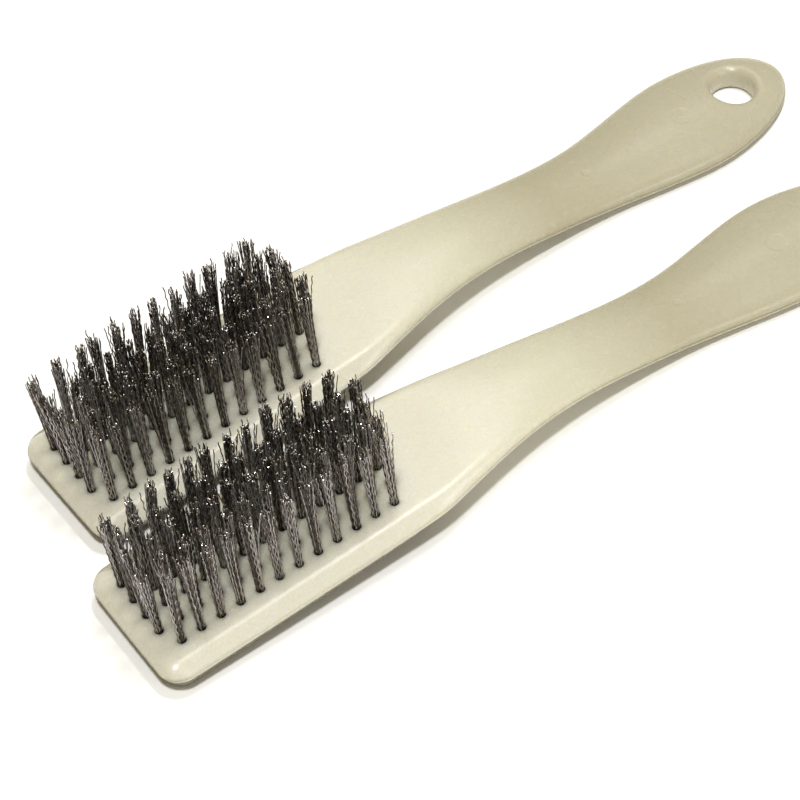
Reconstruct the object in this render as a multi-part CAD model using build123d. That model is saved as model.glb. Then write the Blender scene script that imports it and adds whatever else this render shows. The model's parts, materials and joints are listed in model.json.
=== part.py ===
"""A pair of wire scratch brushes that lie side by side on their backs, bristles up.

Each brush is a moulded plastic head and handle in one piece, with five rows of crimped steel
wire tufts. Every tuft is folded over a flat steel anchor at the bottom of its blind hole.
Millimetres, +Z up, floor at Z = 0. The origin is on the floor below the middle of the pair.

The head, its tufts and its anchors are drawn in the head's own frame: X runs from the first
tuft column towards the handle, Y across, and the tufted face is at Z = 0. The head is then
tilted about its free end, because the arched neck lifts its other end off the floor.
"""

import math
import os

from build123d import *

# Tuft field.
PITCH = 6.0
COLUMNS = 13
ROWS = 5
HOLE_RADIUS = 1.25
HOLE_DEPTH = 6.5
ROOT_CLEARANCE = 0.02
TUFT_HEIGHT = 30.0
TUFT_TOP_RADIUS = 2.1
FOLD_HEIGHT = 0.4
ANCHOR_LENGTH = 3.4
ANCHOR_THICKNESS = 0.5
ANCHOR_HEIGHT = 2.2

# Head.
HEAD_END = -7.0
HEAD_HALF_WIDTH = 21.4
HEAD_THICKNESS = 9.6
HEAD_CORNER_RADIUS = 7.0
HEAD_TILT = 3.4
FACE_ABOVE_PARTING = 3.3
END_ROUNDING = 4.0
LOWER_WALL_END = 75.5
LOWER_WALL_DRAFT = 20.0
LOWER_WALL_EDGE_RADIUS = 1.5
UNDERSIDE_SLOPE = 1.4
UNDERSIDE_DROP = 0.3

# Handle: knots of its half width, the height of its parting line, its crown above that line,
# how much of the crown is bulged, its shoulders' share of the half width, how round they are,
# and its belly below the line, each as (distance along the brush, value).
HALF_WIDTH = [
    (0, 21.4), (40, 21.5), (76, 21.3), (84, 20.2), (93, 18.4), (104, 16.2),
    (126, 13.3), (150, 12.3), (174, 13.4), (198, 17.2), (208, 18.1),
]
PARTING_HEIGHT = [(76, 11.23), (102, 13.1), (126, 12.0), (150, 8.0), (172, 4.6), (192, 3.6)]
CROWN = [(76, 3.3), (104, 3.7), (150, 4.1), (200, 5.6)]
BULGE = [(76, 0.0), (104, 0.7), (150, 1.1), (200, 1.5)]
SHOULDER = [(72, 0.18), (84, 0.15), (93, 0.18), (104, 0.26), (126, 0.34)]
ROUNDNESS = [(74, 0.0), (84, 0.3), (93, 0.8), (104, 1.0)]
BELLY = [(76, 3.5), (110, 3.2), (150, 3.3), (192, 3.6)]
LAND_WIDTH = 0.35
LAND_HALF_HEIGHT = 0.2
ROUND_REACH = 0.58
TIP_START = 208.0
TIP_LENGTH = 34.3
TIP_THINNING = 3.5
HANG_HOLE_AT = 225.1
HANG_HOLE_RADIUS = 6.5
HANG_HOLE_TOP_ROUNDING = 2.0
HANG_HOLE_BOTTOM_ROUNDING = 0.8

# Where the sections that shape the handle stand: distances from the head's free end, then
# distances along the brush, then shares of the tip's length.
END_STATIONS = [0.05, 0.25, 0.7, 1.4, 2.4, 4.0, 5.6, 7.0, 9.0]
MAIN_STATIONS = [12, 40, 64, 74, 79, 84, 93, 104, 126, 150, 174, 198, 208]
TIP_STATIONS = [0.2, 0.4, 0.55, 0.7, 0.8, 0.88, 0.94, 0.975, 0.995]

# How a solid sits on its own origin: upward from it or downward from it.
STANDING = (Align.CENTER, Align.CENTER, Align.MIN)
HANGING = (Align.CENTER, Align.CENTER, Align.MAX)

# The second brush lies behind the first, a little further along and turned a little.
REAR_SHIFT = (9.7, 48.6)
REAR_TURN = 1.5


def smooth(knots, x, first_slope=0.0):
    """Cubic curve through the knots, constant beyond them and level at the last one."""
    if x <= knots[0][0]:
        return knots[0][1]
    if x >= knots[-1][0]:
        return knots[-1][1]
    slopes = [first_slope]
    for before, after in zip(knots, knots[2:]):
        slopes.append((after[1] - before[1]) / (after[0] - before[0]))
    slopes.append(0.0)
    i = max(k for k in range(len(knots) - 1) if knots[k][0] <= x)
    (x0, y0), (x1, y1) = knots[i], knots[i + 1]
    t = (x - x0) / (x1 - x0)
    value = (2 * t**3 - 3 * t**2 + 1) * y0 + (3 * t**2 - 2 * t**3) * y1
    value += (t**3 - 2 * t**2 + t) * (x1 - x0) * slopes[i]
    value += (t**3 - t**2) * (x1 - x0) * slopes[i + 1]
    return value


def parting_line(x):
    """Height of the parting line: straight along the tilted head, then arched."""
    slope = math.tan(math.radians(HEAD_TILT))
    if x > PARTING_HEIGHT[0][0]:
        return smooth(PARTING_HEIGHT, x, slope)
    height_at_end = (HEAD_THICKNESS - FACE_ABOVE_PARTING) / math.cos(math.radians(HEAD_TILT))
    return height_at_end + (x - HEAD_END) * slope


def section(x):
    """Half width and thickness share of the moulding's outline at x."""
    width, share = smooth(HALF_WIDTH, x), 1.0
    from_end = x - HEAD_END
    if from_end < END_ROUNDING:
        share = math.sqrt(1 - (1 - from_end / END_ROUNDING) ** 2)
    if from_end < HEAD_CORNER_RADIUS:
        reach = HEAD_CORNER_RADIUS - from_end
        width += math.sqrt(HEAD_CORNER_RADIUS**2 - reach**2) - HEAD_CORNER_RADIUS
    if x > TIP_START:
        along = (x - TIP_START) / TIP_LENGTH
        width *= math.sqrt(1 - along**2)
        share = math.sqrt(1 - along**TIP_THINNING)
    return width, share


def roundness(x):
    """0 where the shoulders are flat chamfers with a crease above them, 1 where they are round."""
    corner = 1 - (x - HEAD_END) / HEAD_CORNER_RADIUS
    return max(smooth(ROUNDNESS, x), min(1.0, 1.5 * corner), 0.0)


def between(start, end, share):
    """The point at that share of the way from start to end."""
    return tuple(a + (b - a) * share for a, b in zip(start, end))


def across(x, edges):
    """The face inside these edges, drawn across the brush at x and centred on its parting line."""
    plane = Plane(origin=(x, 0, parting_line(x)), x_dir=(0, 1, 0), z_dir=(1, 0, 0))
    return plane * make_face(Curve() + edges)


def cross_section(x):
    """Cross section at x without its parting land: a crown with its shoulders, and a belly."""
    width, share = section(x)
    width -= LAND_WIDTH * share
    height = smooth(CROWN, x) * share
    bulge = smooth(BULGE, x) * share
    foot = (width, 0)
    crease = (width * (1 - smooth(SHOULDER, x)), height - bulge)
    slope = 2 * bulge / crease[0]
    reach = ROUND_REACH * (width - crease[0])
    round_top = (crease[0] + reach, crease[1] - slope * reach)
    round_foot = (width, ROUND_REACH * crease[1])
    top = between(between(crease, foot, 1 / 3), round_top, roundness(x))
    low = between(between(crease, foot, 2 / 3), round_foot, roundness(x))
    middle_height = crease[1] + 4 * bulge / 3
    third = crease[0] / 3
    mirrored = [(-y, z) for y, z in (crease, top, low, foot)]
    shoulder = Bezier(foot, low, top, crease)
    crown = Bezier(crease, (third, middle_height), (-third, middle_height), mirrored[0])
    belly = EllipticalCenterArc((0, 0), width, smooth(BELLY, x) * share, 180, arc_size=180)
    return across(x, [shoulder, crown, Bezier(*mirrored), belly])


def land_section(x):
    """Cross section at x of the narrow flat land that runs round the parting line."""
    width, share = section(x)
    height = LAND_HALF_HEIGHT * share
    corners = [(width, -height), (width, height), (-width, height), (-width, -height)]
    return across(x, [Polyline(*corners, close=True)])


def stations():
    """Every place along the brush where its outline is given."""
    places = [HEAD_END + d for d in END_STATIONS]
    places += MAIN_STATIONS
    places += [TIP_START + share * TIP_LENGTH for share in TIP_STATIONS]
    return places


def on_head(shape):
    """Move a shape from the head's own frame to the tilted head."""
    pivot = Location((HEAD_END, 0, 0)) * Rotation(0, -HEAD_TILT, 0)
    return pivot * Location((-HEAD_END, 0, HEAD_THICKNESS)) * shape


def lower_wall():
    """The head's drafted wall below the parting line, in the head's own frame. Its underside
    rises a little towards the handle."""
    half = HEAD_HALF_WIDTH - LAND_WIDTH
    length = LOWER_WALL_END - HEAD_END - LAND_WIDTH
    middle = (LOWER_WALL_END + HEAD_END + LAND_WIDTH) / 2
    outline = Plane.XY.offset(-FACE_ABOVE_PARTING) * Pos(middle, 0) * RectangleRounded(
        length, 2 * half, HEAD_CORNER_RADIUS - LAND_WIDTH
    )
    depth = HEAD_THICKNESS - FACE_ABOVE_PARTING
    wall = extrude(outline, amount=-2 * depth, taper=LOWER_WALL_DRAFT)
    under = Pos(HEAD_END, 0, -HEAD_THICKNESS - UNDERSIDE_DROP) * Rotation(0, -UNDERSIDE_SLOPE, 0)
    wall -= under * Box(3 * length, 3 * half, 4 * depth, align=HANGING)
    bottom = wall.faces().sort_by(Axis.Z)[0]
    return fillet(bottom.edges(), LOWER_WALL_EDGE_RADIUS)


def on_hang_hole(edge):
    """True for an edge that runs round the hanging hole's wall."""
    box = edge.bounding_box()
    across = abs(box.size.Y - 2 * HANG_HOLE_RADIUS) < 0.01
    return across and abs(box.center().X - HANG_HOLE_AT) < 0.5


def tuft_places(row):
    """Places of one row's tufts. The outer rows are one tuft short of the inner ones, and the
    first row stands half a pitch on."""
    first = PITCH / 2 if row == 0 else 0.0
    count = COLUMNS - 1 if row in (0, ROWS - 1) else COLUMNS
    across = (row - (ROWS - 1) / 2) * PITCH
    return [(first + k * PITCH, across) for k in range(count)]


def handle():
    """The moulding: head and handle in one piece, with its tuft holes and hanging hole."""
    body = loft([cross_section(x) for x in stations()])
    body += loft([land_section(x) for x in stations()])
    body += on_head(lower_wall())
    hole = Cylinder(HOLE_RADIUS, HOLE_DEPTH, align=HANGING)
    socket = hole + anchor()
    places = [place for row in range(ROWS) for place in tuft_places(row)]
    body -= [on_head(Pos(x, y, 0) * socket) for x, y in places]
    body -= Pos(HANG_HOLE_AT, 0, 0) * Cylinder(HANG_HOLE_RADIUS, 4 * HEAD_THICKNESS)
    rims = body.edges().filter_by(on_hang_hole).sort_by(Axis.Z)
    body = fillet(rims[-1:], HANG_HOLE_TOP_ROUNDING)
    rims = body.edges().filter_by(on_hang_hole).sort_by(Axis.Z)
    return fillet(rims[:1], HANG_HOLE_BOTTOM_ROUNDING)


def anchor():
    """A flat strip across the hole's bottom. Its ends sit in slits that they cut in the wall."""
    strip = Box(ANCHOR_LENGTH, ANCHOR_THICKNESS, ANCHOR_HEIGHT, align=STANDING)
    return Pos(0, 0, FOLD_HEIGHT - HOLE_DEPTH) * strip


def tuft():
    """One bundle of wires: a root that fills its hole, flared above, folded round the anchor."""
    root_radius = HOLE_RADIUS - ROOT_CLEARANCE
    root = Cylinder(root_radius, HOLE_DEPTH, align=HANGING)
    flare = Cone(root_radius, TUFT_TOP_RADIUS, TUFT_HEIGHT, align=STANDING)
    return root + flare - anchor()


def brush():
    """All of one brush's pieces by name."""
    pieces = {"handle": handle()}
    one_tuft, one_anchor = tuft(), anchor()
    for row in range(ROWS):
        places = [Pos(x, y, 0) for x, y in tuft_places(row)]
        pieces[f"tuft_row_{row + 1}"] = Compound([on_head(p * one_tuft) for p in places])
        pieces[f"anchor_row_{row + 1}"] = Compound([on_head(p * one_anchor) for p in places])
    return pieces


def pair():
    """Both brushes, moved so that the origin is on the floor below their middle."""
    one = brush()
    to_rear = Pos(*REAR_SHIFT, 0) * Rotation(0, 0, REAR_TURN)
    pieces = {f"front_{name}": shape for name, shape in one.items()}
    pieces |= {f"rear_{name}": to_rear * shape for name, shape in one.items()}
    box = Compound(list(pieces.values())).bounding_box()
    middle = box.center()
    home = Pos(-middle.X, -middle.Y, -box.min.Z)
    return {name: home * shape for name, shape in pieces.items()}


os.makedirs("parts", exist_ok=True)
for node, shape in pair().items():
    export_step(shape, f"parts/{node}.step")
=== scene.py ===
"""The looks of a pair of steel wire scratch brushes with moulded ivory handles.

The handles and the anchors keep their CAD meshes and get materials. Every tuft is replaced by a
bundle of separate crimped wires, which follows that tuft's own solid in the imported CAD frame.
"""

import json
import math

import bmesh
import bpy
import numpy as np
from mathutils import Matrix, Vector


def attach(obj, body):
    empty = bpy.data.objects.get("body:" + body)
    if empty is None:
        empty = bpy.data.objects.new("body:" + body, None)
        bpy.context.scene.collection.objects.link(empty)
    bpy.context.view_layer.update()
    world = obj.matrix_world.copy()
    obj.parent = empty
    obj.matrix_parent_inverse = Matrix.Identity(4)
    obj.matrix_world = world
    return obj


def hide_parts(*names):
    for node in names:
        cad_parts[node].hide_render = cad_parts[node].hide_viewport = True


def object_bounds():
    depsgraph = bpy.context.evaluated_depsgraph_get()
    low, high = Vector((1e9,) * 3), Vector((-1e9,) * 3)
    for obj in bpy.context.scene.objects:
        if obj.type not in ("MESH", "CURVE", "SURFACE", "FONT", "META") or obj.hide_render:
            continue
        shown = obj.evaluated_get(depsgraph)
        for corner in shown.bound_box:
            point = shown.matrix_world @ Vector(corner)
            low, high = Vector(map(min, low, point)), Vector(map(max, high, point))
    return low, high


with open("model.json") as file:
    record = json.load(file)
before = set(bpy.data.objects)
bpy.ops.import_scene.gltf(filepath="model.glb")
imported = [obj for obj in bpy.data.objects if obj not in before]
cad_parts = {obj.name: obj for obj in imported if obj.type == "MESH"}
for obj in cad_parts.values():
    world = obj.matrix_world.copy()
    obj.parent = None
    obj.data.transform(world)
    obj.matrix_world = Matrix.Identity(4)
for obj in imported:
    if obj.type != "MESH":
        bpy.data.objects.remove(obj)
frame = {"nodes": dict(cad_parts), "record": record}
CAD_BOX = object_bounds()
MM = 0.001
BRUSHES = ("front", "rear")
ROWS = 5

# How far each brush is turned on the floor, in degrees.
TURN = {"front": 0.0, "rear": 1.5}

# Every row of wires has its own random seed, and the brushes' seeds are this far apart.
SEED_STEP = 100

# The wires of one tuft, in millimetres. They start below the head's face, inside the hole.
WIRES = 30
WIRE_RADIUS = 0.165
WIRE_SIDES = 4
WIRE_RINGS = 46
BUNDLE_RADIUS = 1.06
BUNDLE_SPREAD = (0.92, 1.02)
ANGLE_SPREAD = 0.1
BELOW_FACE = 2.6
HOLE_DEPTH = 6.5
GOLDEN_ANGLE = math.pi * (3 - math.sqrt(5))

# Cut lengths, as shares of a tuft's free length. A chance below SHORT_BELOW makes a wire short,
# and one above PROUD_ABOVE makes it stand proud.
TUFT_HEIGHT = (0.94, 0.97)
CUT_SPREAD = 0.022
SHORT_BELOW = 0.2
SHORT_CUT = (0.86, 0.97)
PROUD_ABOVE = 0.94
PROUD_CUT = (1.02, 1.06)
LONGEST_WIRE = 1.04

# From the near row to the far row: how far the tops lean towards the handle, in millimetres, and
# how much height is added to that of a worn tuft, as a share of the free length.
LEAN = (0.2, 0.7, 1.1, 1.6, 2.1)
TALLER = (0.0, 0.005, 0.015, 0.03, 0.055)

# How a tuft opens, turns and bends towards its top. Lengths are in millimetres, turns in radians,
# and each power says how late on its way up a wire starts to move.
TUFT_FLARE = (0.3, 0.75)
WIRE_FLARE = (-0.3, 0.4)
FLARE_POWER = 1.2
TWIST = 0.5
TUFT_BEND = 0.55
BEND_POWER = 1.3
WANDER = 0.4
WANDER_POWER = 2.2
LOOSE_SHARE = 0.07
LOOSE_REACH = (0.9, 2.6)
HIGHEST_RISE = 1.1

# The crimp, in millimetres and radians. It fades in over CRIMP_FADE from CRIMP_FROM above the face.
CRIMP_LENGTH = 3.7
CRIMP_LENGTH_SPREAD = 0.02
CRIMP_DEPTH = 0.16
CRIMP_DEPTH_SPREAD = (0.7, 1.3)
CRIMP_DISORDER = 0.5
CRIMP_FROM = -0.6
CRIMP_FADE = 1.8

# Reading the CAD tufts: corners closer than SAME_POINT metres are one corner, and a slice of
# END_SLICE millimetres at each end of a tuft gives the middle of that end.
SAME_POINT = 1e-6
END_SLICE = 0.3

# Materials give each noise as its cells per metre and its detail, and depths and reaches in metres.
WHITE = (1, 1, 1)
NOISE_ROUGHNESS = 0.55

# The ivory plastic's colour along the pair, between these X in metres, as (share of the way, colour):
# greyer at the head, lighter at the neck as a painted sheen, and darker and yellower on the handle.
ALONG = (-0.13, 0.13)
IVORY_COLOURS_AND_SHEEN = [
    (0.25, (0.62, 0.61, 0.527)),
    (0.40, (0.63, 0.615, 0.515)),
    (0.53, (0.555, 0.54, 0.43)),
    (0.66, (0.415, 0.39, 0.285)),
    (0.95, (0.455, 0.432, 0.335)),
]
CLOUD_NOISE = (38, 4)
CLOUD_TINTS = [(0.3, (0.985, 0.98, 0.97)), (0.7, WHITE)]
SPECKLE_NOISE = (1500, 2)
SPECKLE_TINTS = [(0.3, (0.92, 0.915, 0.90)), (0.7, WHITE)]

# On the head, which ends between these X in metres, painted shade darkens the nooks between the tufts,
# and the walls that face downward are painted darker as shade: by how open a place is, then by its
# normal's Z.
HEAD_FADES = (-0.045, -0.03)
PAINTED_SHADE_REACH = 0.012
PAINTED_SHADE_SAMPLES = 4
PAINTED_SHADE_TINTS = [(0.25, (0.42, 0.41, 0.36)), (0.8, WHITE)]
PAINTED_WALL_SHADE_FADES = (-0.25, 0.1)
PAINTED_WALL_SHADE_TINTS = [(0, (0.40, 0.37, 0.29)), (1, WHITE)]

# The plastic round the hanging hole is painted lighter, a painted glow for light coming through it:
# fully within the first of these distances from its axis, in millimetres, and not at all beyond the
# second.
PAINTED_GLOW_FADES = (5.5, 7.5)
PAINTED_GLOW_COLOUR = (0.64, 0.60, 0.46, 1)

# The plastic's surface: moulded creases shaded as rounded, a fine grain and low waves.
CREASE_RADIUS = 0.0019
CREASE_SAMPLES = 6
GRAIN_NOISE = (2600, 2)
GRAIN_DEPTH = 0.000012
WAVE_NOISE = (160, 2)
WAVE_DEPTH = 0.000008
IVORY_ROUGHNESS = (0.25, 0.29)
IVORY_IOR = 1.5
SCATTER_WEIGHT = 0.6
SCATTER_RADIUS = (1.0, 0.75, 0.4)
SCATTER_SCALE = 0.0035

# Marks on the handle: how far along the handle and across it from the middle of the hanging hole,
# then radius, width of the edge and depth of the step, all in millimetres.
GATE_DIMPLE = ((-55.0, -0.8), 1.1, 0.35, 0.12)
EJECTOR_RING = ((-19.7, -0.5), 3.0, 0.3, 0.06)

# The steel: patches of two shades, and fine lines drawn out in height. Then the share of the cut
# ends that are bright, and the share of the wires that are oiled.
PATCH_NOISE = (900, 3)
PATCH_EDGES = (0.32, 0.68)
DRAWN_NOISE = (2400, 2)
DRAWN_STRETCH = (1, 1, 0.12)
DRAWN_DEPTH = 0.000008
DRAWN_ROUGHNESS = (-0.08, 0.1)
BRIGHT_SHARE = 0.3
OILED_SHARE = 0.45

# The floor, in metres, with its paper's noise.
FLOOR_HALF_WIDTH = 1.5
FLOOR_CELLS = 8
PAPER_NOISE = (300, 3)
PAPER_COLOURS = [(0.3, (0.92, 0.92, 0.92)), (0.7, (0.95, 0.95, 0.95))]
PAPER_ROUGHNESS = (0.75, 0.9)

# The studio: each light's place and size in metres and its power in watts, then the soft fill.
LIGHTS = {
    "key": ((-0.30, -0.36, 1.25), (0.11, 0.11), 11.2),
    "near": ((0.28, -0.82, 0.42), (0.5, 0.06), 1.7),
    "ridge": ((0.18, 0.0, 1.15), (0.32, 0.08), 5.6),
    "sheen": ((0.37, 0.52, 0.95), (0.4, 0.4), 1.3),
}
FILL_COLOUR = (1.0, 0.87, 0.54)
FILL_STRENGTH = 0.30

# The camera: where it stands in metres, its lens and sensor in millimetres, and its turn, dip and
# roll in degrees.
CAMERA_PLACE = (-0.292848, -0.434064, 0.634197)
CAMERA_LENS = 135
CAMERA_SENSOR = 36
CAMERA_SEES = (0.05, 10)
CAMERA_TURN = -31.493
CAMERA_DIP = 51.3216
CAMERA_ROLL = -4.921


# ------------------------------------------------------------------ materials


class Nodes:
    """A short way to build a node material."""

    def __init__(self, name):
        self.material = bpy.data.materials.new(name)
        self.material.use_nodes = True
        self.tree = self.material.node_tree
        self.tree.nodes.clear()
        self.shader = self.add("ShaderNodeBsdfPrincipled")
        output = self.add("ShaderNodeOutputMaterial")
        self.link(self.shader, "BSDF", output, "Surface")
        self.coordinates = self.add("ShaderNodeTexCoord")

    def add(self, kind, **values):
        """A new node, with each value set as a property or else on the socket of that name."""
        node = self.tree.nodes.new(kind)
        for key, value in values.items():
            if hasattr(node, key):
                setattr(node, key, value)
            else:
                node.inputs[key].default_value = value
        return node

    def link(self, start, output, end, socket):
        self.tree.links.new(start.outputs[output], end.inputs[socket])

    def parts_of(self, output):
        """The X, Y and Z of the object's own coordinates or normal."""
        node = self.add("ShaderNodeSeparateXYZ")
        self.link(self.coordinates, output, node, "Vector")
        return node

    def noise(self, scale, detail, stretch=None):
        """Noise in the object's own space, stretched along its axes if asked."""
        texture = self.add("ShaderNodeTexNoise", Scale=scale, Detail=detail, Roughness=NOISE_ROUGHNESS)
        if stretch is None:
            self.link(self.coordinates, "Object", texture, "Vector")
        else:
            mapping = self.add("ShaderNodeMapping", Scale=stretch)
            self.link(self.coordinates, "Object", mapping, "Vector")
            self.link(mapping, "Vector", texture, "Vector")
        return texture

    def ramp(self, source, stops, output="Fac"):
        """A colour ramp with (place, colour) stops."""
        node = self.add("ShaderNodeValToRGB")
        elements = node.color_ramp.elements
        while len(elements) < len(stops):
            elements.new(0.5)
        for element, (place, colour) in zip(elements, stops):
            element.position = place
            element.color = (*colour, 1)
        self.link(source, output, node, "Fac")
        return node

    def range(self, source, low, high, output="Fac", start=0.3, end=0.7):
        """The source's values from start to end, spread from low to high."""
        node = self.add("ShaderNodeMapRange")
        for socket, value in (("From Min", start), ("From Max", end), ("To Min", low), ("To Max", high)):
            node.inputs[socket].default_value = value
        self.link(source, output, node, "Value")
        return node

    def tinted(self, source, output, tint, where=None):
        """The source's colour multiplied by the tint's, everywhere or by the strength of `where`."""
        node = self.add("ShaderNodeMix", data_type="RGBA", blend_type="MULTIPLY")
        node.inputs["Factor"].default_value = 1.0
        if where is not None:
            self.link(where, "Result", node, "Factor")
        self.link(source, output, node, "A")
        self.link(tint, "Color", node, "B")
        return node

    def steps_away(self, centre, first, last):
        """0 within `first` mm of a vertical axis through the centre, 1 beyond `last` mm from it."""
        level = self.add("ShaderNodeVectorMath", operation="MULTIPLY")
        self.link(self.coordinates, "Object", level, 0)
        level.inputs[1].default_value = (1, 1, 0)
        away = self.add("ShaderNodeVectorMath", operation="DISTANCE")
        self.link(level, "Vector", away, 0)
        away.inputs[1].default_value = centre
        step = self.add("ShaderNodeMapRange", interpolation_type="SMOOTHSTEP")
        step.inputs["From Min"].default_value = first * MM
        step.inputs["From Max"].default_value = last * MM
        self.link(away, "Value", step, "Value")
        return step

    def bump(self, source, distance, output="Fac", before=None):
        """A relief of this depth in metres, on top of the normal from the node before."""
        node = self.add("ShaderNodeBump", Distance=distance, Strength=1.0)
        self.link(source, output, node, "Height")
        if before is not None:
            self.link(before, "Normal", node, "Normal")
        return node


def brush_point(brush, place):
    """A place seen from above, from its distances along and across the brush to the hanging hole."""
    mount = next(m for m in frame["record"]["mounts"] if m["name"] == f"{brush}_hang_hole")
    hole = Vector(mount["pos_m"])
    turn = math.radians(TURN[brush])
    along, aside = place[0] * MM, place[1] * MM
    x = hole.x + along * math.cos(turn) - aside * math.sin(turn)
    return (x, hole.y + along * math.sin(turn) + aside * math.cos(turn), 0.0)


def ivory_colour(m, brush):
    """Colour along the brush, cloudy and speckled, with a painted sheen at the neck, painted shade on
    the head and a painted glow at the hole.
    """
    place = m.parts_of("Object")
    # The colour along the pair, lighter at the neck as a painted sheen.
    colour = m.ramp(m.range(place, 0, 1, "X", *ALONG), IVORY_COLOURS_AND_SHEEN, "Result")
    colour = m.tinted(colour, "Color", m.ramp(m.noise(*CLOUD_NOISE), CLOUD_TINTS))
    colour = m.tinted(colour, "Result", m.ramp(m.noise(*SPECKLE_NOISE), SPECKLE_TINTS))
    on_head = m.range(place, 1, 0, "X", *HEAD_FADES)
    # Painted shade: the head darkens where nearby surfaces close it in, between the tufts.
    painted_nook_shade = m.add("ShaderNodeAmbientOcclusion", samples=PAINTED_SHADE_SAMPLES, Distance=PAINTED_SHADE_REACH)
    colour = m.tinted(colour, "Result", m.ramp(painted_nook_shade, PAINTED_SHADE_TINTS, "AO"), on_head)
    # Painted shade: the head's walls that face downward are darker.
    painted_wall_shade = m.range(m.parts_of("Normal"), 0, 1, "Z", *PAINTED_WALL_SHADE_FADES)
    colour = m.tinted(colour, "Result", m.ramp(painted_wall_shade, PAINTED_WALL_SHADE_TINTS, "Result"), on_head)
    # A painted glow: the plastic round the hanging hole is lighter, as if lit through.
    painted_glow = m.add("ShaderNodeMix", data_type="RGBA")
    m.link(m.steps_away(brush_point(brush, (0, 0)), *PAINTED_GLOW_FADES), "Result", painted_glow, "Factor")
    painted_glow.inputs["A"].default_value = PAINTED_GLOW_COLOUR
    m.link(colour, "Result", painted_glow, "B")
    m.link(painted_glow, "Result", m.shader, "Base Color")


def ivory_surface(m, brush):
    """Rounded creases, grain, waves and the two marks that the mould leaves on the handle."""
    waves = m.noise(*WAVE_NOISE)
    m.link(m.range(waves, *IVORY_ROUGHNESS), "Result", m.shader, "Roughness")
    rounded = m.add("ShaderNodeBevel", samples=CREASE_SAMPLES, Radius=CREASE_RADIUS)
    normal = m.bump(m.noise(*GRAIN_NOISE), GRAIN_DEPTH, before=rounded)
    normal = m.bump(waves, WAVE_DEPTH, before=normal)
    for place, radius, edge, depth in (GATE_DIMPLE, EJECTOR_RING):
        rim = m.steps_away(brush_point(brush, place), radius - edge, radius + edge)
        normal = m.bump(rim, depth * MM, output="Result", before=normal)
    m.link(normal, "Normal", m.shader, "Normal")


def ivory_plastic(brush):
    """Translucent ivory plastic."""
    m = Nodes(f"{brush}_ivory_plastic")
    ivory_colour(m, brush)
    ivory_surface(m, brush)
    m.shader.inputs["IOR"].default_value = IVORY_IOR
    m.shader.inputs["Subsurface Weight"].default_value = SCATTER_WEIGHT
    m.shader.inputs["Subsurface Radius"].default_value = SCATTER_RADIUS
    m.shader.inputs["Subsurface Scale"].default_value = SCATTER_SCALE
    return m.material


def wire_steel(name, dark, light, rough):
    """Drawn steel, patchy between its dark and its light shade."""
    m = Nodes(name)
    colour = m.ramp(m.noise(*PATCH_NOISE), list(zip(PATCH_EDGES, (dark, light))))
    m.link(colour, "Color", m.shader, "Base Color")
    m.shader.inputs["Metallic"].default_value = 1.0
    drawn = m.noise(*DRAWN_NOISE, DRAWN_STRETCH)
    smoother, rougher = DRAWN_ROUGHNESS
    m.link(m.range(drawn, rough + smoother, rough + rougher), "Result", m.shader, "Roughness")
    m.link(m.bump(drawn, DRAWN_DEPTH), "Normal", m.shader, "Normal")
    return m.material


IVORY = {brush: ivory_plastic(brush) for brush in BRUSHES}
WIRE = wire_steel("drawn_steel_wire", (0.27, 0.245, 0.235), (0.62, 0.58, 0.57), 0.32)
OILED = wire_steel("oiled_steel_wire", (0.06, 0.05, 0.042), (0.17, 0.145, 0.13), 0.34)
CUT = wire_steel("cut_wire_ends", (0.78, 0.77, 0.75), (0.97, 0.96, 0.94), 0.2)
ANCHOR = wire_steel("anchor_steel", (0.42, 0.42, 0.43), (0.62, 0.62, 0.63), 0.3)


# ------------------------------------------------------------------ tufts


def islands(node):
    """The corners of each closed solid in a CAD node, one array for each tuft, in order of X."""
    mesh = bmesh.new()
    mesh.from_mesh(frame["nodes"][node].data)
    bmesh.ops.remove_doubles(mesh, verts=mesh.verts, dist=SAME_POINT)
    left = set(mesh.verts)
    found = []
    while left:
        group, edge = set(), {left.pop()}
        while edge:
            vertex = edge.pop()
            group.add(vertex)
            edge |= {e.other_vert(vertex) for e in vertex.link_edges} - group
        left -= group
        found.append(np.array([v.co for v in group]))
    mesh.free()
    return sorted(found, key=lambda points: points[:, 0].mean())


def middle(points):
    """The middle of the points' box."""
    return (points.min(0) + points.max(0)) / 2


def tuft_axis(points):
    """The middle of a tuft's lower end and of its top."""
    low, high = points[:, 2].min(), points[:, 2].max()
    bottom = points[points[:, 2] < low + END_SLICE * MM]
    top = points[points[:, 2] > high - END_SLICE * MM]
    return middle(bottom), middle(top)


def cut_lengths(free, longest, rng):
    """How far each wire reaches: most to one level, some short and a few standing proud."""
    cut = free * (1 + rng.normal(0, CUT_SPREAD, WIRES))
    chance = rng.random(WIRES)
    cut = np.where(chance < SHORT_BELOW, cut * rng.uniform(*SHORT_CUT, WIRES), cut)
    cut = np.where(chance > PROUD_ABOVE, cut * rng.uniform(*PROUD_CUT, WIRES), cut)
    return np.minimum(cut, longest)


def crimp(z, phi, rng):
    """The sideways wave along every wire, in two families that cross each other."""
    ease = np.clip((z - CRIMP_FROM * MM) / (CRIMP_FADE * MM), 0, 1)
    phase = math.pi * (np.arange(WIRES) % 2) + rng.normal(0, CRIMP_DISORDER, WIRES)
    phase = phase + rng.uniform(0, 2 * math.pi)
    length = CRIMP_LENGTH * MM * rng.normal(1, CRIMP_LENGTH_SPREAD, WIRES)
    depth = CRIMP_DEPTH * MM * rng.uniform(*CRIMP_DEPTH_SPREAD, WIRES)
    wave = depth[:, None] * np.sin(2 * math.pi * z / length[:, None] + phase[:, None]) * ease
    plane = phi + math.pi / 2 + rng.normal(0, CRIMP_DISORDER, WIRES)
    return wave[..., None] * np.stack([np.cos(plane), np.sin(plane)], -1)[:, None, :]


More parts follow.
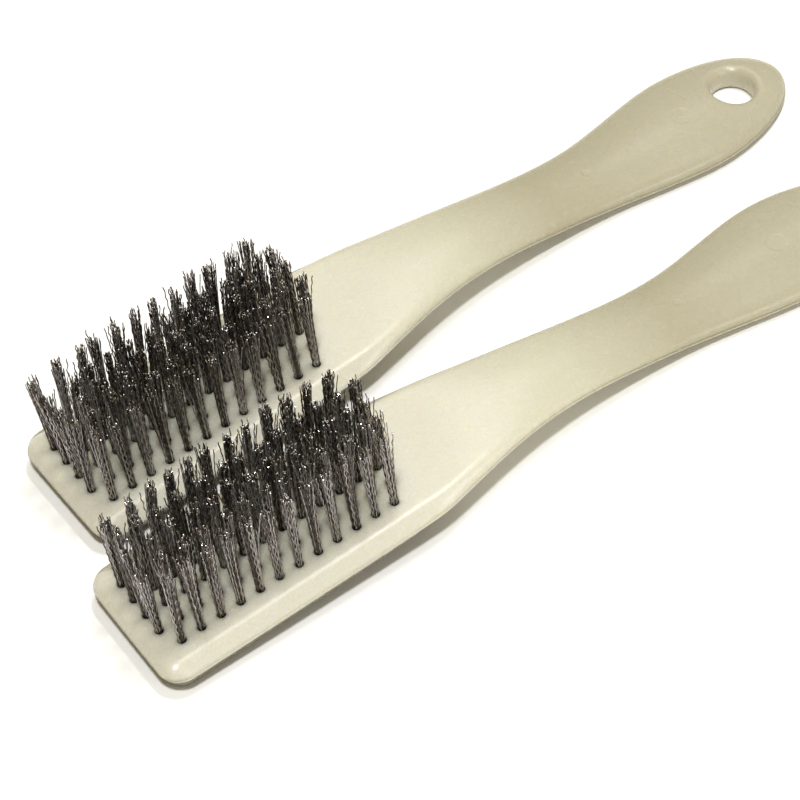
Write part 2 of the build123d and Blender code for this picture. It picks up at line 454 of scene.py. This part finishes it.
def tuft_paths(base, top, rng, lean, height):
    """The centre lines of one tuft's wires, as an array of wires by rings by 3, in metres."""
    axis = top - base
    length = np.linalg.norm(axis)
    up = axis / length
    side = np.cross((0.0, 1.0, 0.0), up)
    side /= np.linalg.norm(side)
    across = np.cross(up, side)
    face = HOLE_DEPTH * MM
    free = (length - face) * height

    # The wires stand in a round bundle, evenly packed.
    number = np.arange(WIRES)
    rho = BUNDLE_RADIUS * MM * np.sqrt((number + 0.5) / WIRES) * rng.uniform(*BUNDLE_SPREAD, WIRES)
    phi = GOLDEN_ANGLE * number + rng.uniform(0, 2 * math.pi) + rng.normal(0, ANGLE_SPREAD, WIRES)
    cut = cut_lengths(free, (length - face) * LONGEST_WIRE, rng)
    t = np.linspace(0, 1, WIRE_RINGS)[None, :]
    z = -BELOW_FACE * MM + t * (cut[:, None] + BELOW_FACE * MM)
    rise = np.clip(z / free, 0, HIGHEST_RISE)

    # The bundle opens towards its top, turns a little and bends to one side.
    opening = rng.uniform(*TUFT_FLARE) + rng.uniform(*WIRE_FLARE, WIRES)
    radius = rho[:, None] * (1 + opening[:, None] * rise**FLARE_POWER)
    angle = phi[:, None] + rng.uniform(-TWIST, TWIST) * rise
    offset = np.stack([radius * np.cos(angle), radius * np.sin(angle)], -1)
    bend = rng.normal(0, TUFT_BEND, 2) + (lean, 0.0)
    offset = offset + bend * MM * (rise**BEND_POWER)[..., None]

    # Single wires wander off near the top, and a few lean far out.
    wander = rng.normal(0, WANDER, (WIRES, 2))
    loose = rng.random(WIRES) < LOOSE_SHARE
    out = np.stack([np.cos(phi), np.sin(phi)], -1) * rng.uniform(*LOOSE_REACH, WIRES)[:, None]
    wander = np.where(loose[:, None], out, wander)
    offset = offset + wander[:, None, :] * MM * (rise**WANDER_POWER)[..., None]

    offset = offset + crimp(z, phi, rng)
    start = base + up * face
    return start + z[..., None] * up + offset[..., :1] * side + offset[..., 1:] * across


def wire_corners(paths):
    """The corners of round wires around the paths, ring by ring."""
    tangent = np.gradient(paths, axis=1)
    tangent /= np.linalg.norm(tangent, axis=2, keepdims=True)
    u = np.cross(tangent, (0.0, 1.0, 0.0))
    u /= np.linalg.norm(u, axis=2, keepdims=True)
    v = np.cross(tangent, u)
    angle = np.arange(WIRE_SIDES) * 2 * math.pi / WIRE_SIDES
    circle = np.cos(angle)[:, None] * u[:, :, None, :] + np.sin(angle)[:, None] * v[:, :, None, :]
    return (paths[:, :, None, :] + WIRE_RADIUS * MM * circle).reshape(-1, 3)


def wire_mesh(name, paths, rng):
    """One mesh of round wires that follow the paths, closed at both ends."""
    wires, rings, _ = paths.shape
    ring = np.arange(WIRE_SIDES)
    following = (ring + 1) % WIRE_SIDES
    start = (np.arange(wires)[:, None] * rings + np.arange(rings - 1)[None, :])[..., None] * WIRE_SIDES
    above = start + WIRE_SIDES
    sides = np.stack([start + ring, start + following, above + following, above + ring], -1)
    sides = sides.reshape(-1, sides.shape[-1])
    first = np.arange(wires)[:, None] * rings * WIRE_SIDES
    lower = first + ring[::-1]
    upper = first + (rings - 1) * WIRE_SIDES + ring
    faces = sides.tolist() + lower.tolist() + upper.tolist()
    mesh = bpy.data.meshes.new(name)
    mesh.from_pydata(wire_corners(paths), [], faces)

    # Some wires are oiled, and some cut ends at the top are bright.
    for material in (WIRE, CUT, OILED):
        mesh.materials.append(material)
    smooth = np.ones(len(faces), bool)
    smooth[len(sides):] = False
    index = np.zeros(len(faces), np.int32)
    oiled = 2 * (rng.random(wires) < OILED_SHARE)
    index[:len(sides)] = np.repeat(oiled, (rings - 1) * WIRE_SIDES)
    index[len(sides):] = np.tile(oiled, 2)
    index[len(sides) + wires:][rng.random(wires) < BRIGHT_SHARE] = 1
    mesh.polygons.foreach_set("use_smooth", smooth)
    mesh.polygons.foreach_set("material_index", index)
    mesh.update()
    piece = bpy.data.objects.new(name, mesh)
    bpy.context.scene.collection.objects.link(piece)
    return piece


def wire_row(brush, row, rng):
    """One row's wires. The tufts that end a row get no lean and no extra height, apart from the
    far row's last one."""
    node = f"{brush}_tuft_row_{row}"
    tufts = islands(node)
    paths = []
    for number, points in enumerate(tufts):
        base, top = tuft_axis(points)
        inner = 0 < number and (number < len(tufts) - 1 or row == ROWS)
        lean = LEAN[row - 1] if inner else 0.0
        height = rng.uniform(*TUFT_HEIGHT) + (TALLER[row - 1] if inner else 0.0)
        paths.append(tuft_paths(base, top, rng, lean, height))
    piece = wire_mesh(f"{brush}_wires_row_{row}", np.concatenate(paths), rng)
    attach(piece, "root")
    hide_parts(node)


for brush_number, brush in enumerate(BRUSHES):
    for row in range(1, ROWS + 1):
        wire_row(brush, row, np.random.RandomState(SEED_STEP * brush_number + row))

for name, node in frame["nodes"].items():
    material = ANCHOR if "anchor" in name else IVORY[name.split("_")[0]]
    node.data.materials.clear()
    node.data.materials.append(material)


# ------------------------------------------------------------------ floor, light and camera


def floor():
    """A plain sheet of pale paper."""
    m = Nodes("pale_floor")
    paper = m.noise(*PAPER_NOISE)
    m.link(m.ramp(paper, PAPER_COLOURS), "Color", m.shader, "Base Color")
    m.link(m.range(paper, *PAPER_ROUGHNESS), "Result", m.shader, "Roughness")
    mesh = bpy.data.meshes.new("floor")
    work = bmesh.new()
    bmesh.ops.create_grid(work, x_segments=FLOOR_CELLS, y_segments=FLOOR_CELLS, size=FLOOR_HALF_WIDTH)
    work.to_mesh(mesh)
    work.free()
    mesh.materials.append(m.material)
    piece = bpy.data.objects.new("floor", mesh)
    bpy.context.scene.collection.objects.link(piece)


def area_light(name, place, target, size, power):
    """A rectangular white light that faces the target."""
    data = bpy.data.lights.new(name, "AREA")
    data.shape = "RECTANGLE"
    data.size, data.size_y = size
    data.energy = power
    light = bpy.data.objects.new(name, data)
    light.location = place
    light.rotation_euler = (Vector(target) - Vector(place)).to_track_quat("-Z", "Y").to_euler()
    bpy.context.scene.collection.objects.link(light)


def fill_light():
    """The same warm light from everywhere."""
    made = bpy.data.worlds.new("studio")
    made.use_nodes = True
    background = made.node_tree.nodes["Background"]
    background.inputs["Color"].default_value = (*FILL_COLOUR, 1)
    background.inputs["Strength"].default_value = FILL_STRENGTH
    bpy.context.scene.world = made


def camera():
    """The camera, high on the near left side."""
    data = bpy.data.cameras.new("camera")
    data.lens = CAMERA_LENS
    data.sensor_width = CAMERA_SENSOR
    data.clip_start, data.clip_end = CAMERA_SEES
    made = bpy.data.objects.new("camera", data)
    made.matrix_world = (
        Matrix.Translation(CAMERA_PLACE)
        @ Matrix.Rotation(math.radians(CAMERA_TURN), 4, "Z")
        @ Matrix.Rotation(math.radians(90 - CAMERA_DIP), 4, "X")
        @ Matrix.Rotation(math.radians(CAMERA_ROLL), 4, "Z")
    )
    bpy.context.scene.collection.objects.link(made)
    bpy.context.scene.camera = made


floor()
fill_light()
CENTRE = (CAD_BOX[0] + CAD_BOX[1]) / 2
for name, (place, size, power) in LIGHTS.items():
    area_light(name, place, CENTRE, size, power)
camera()
bpy.context.scene.view_settings.view_transform = "Standard"
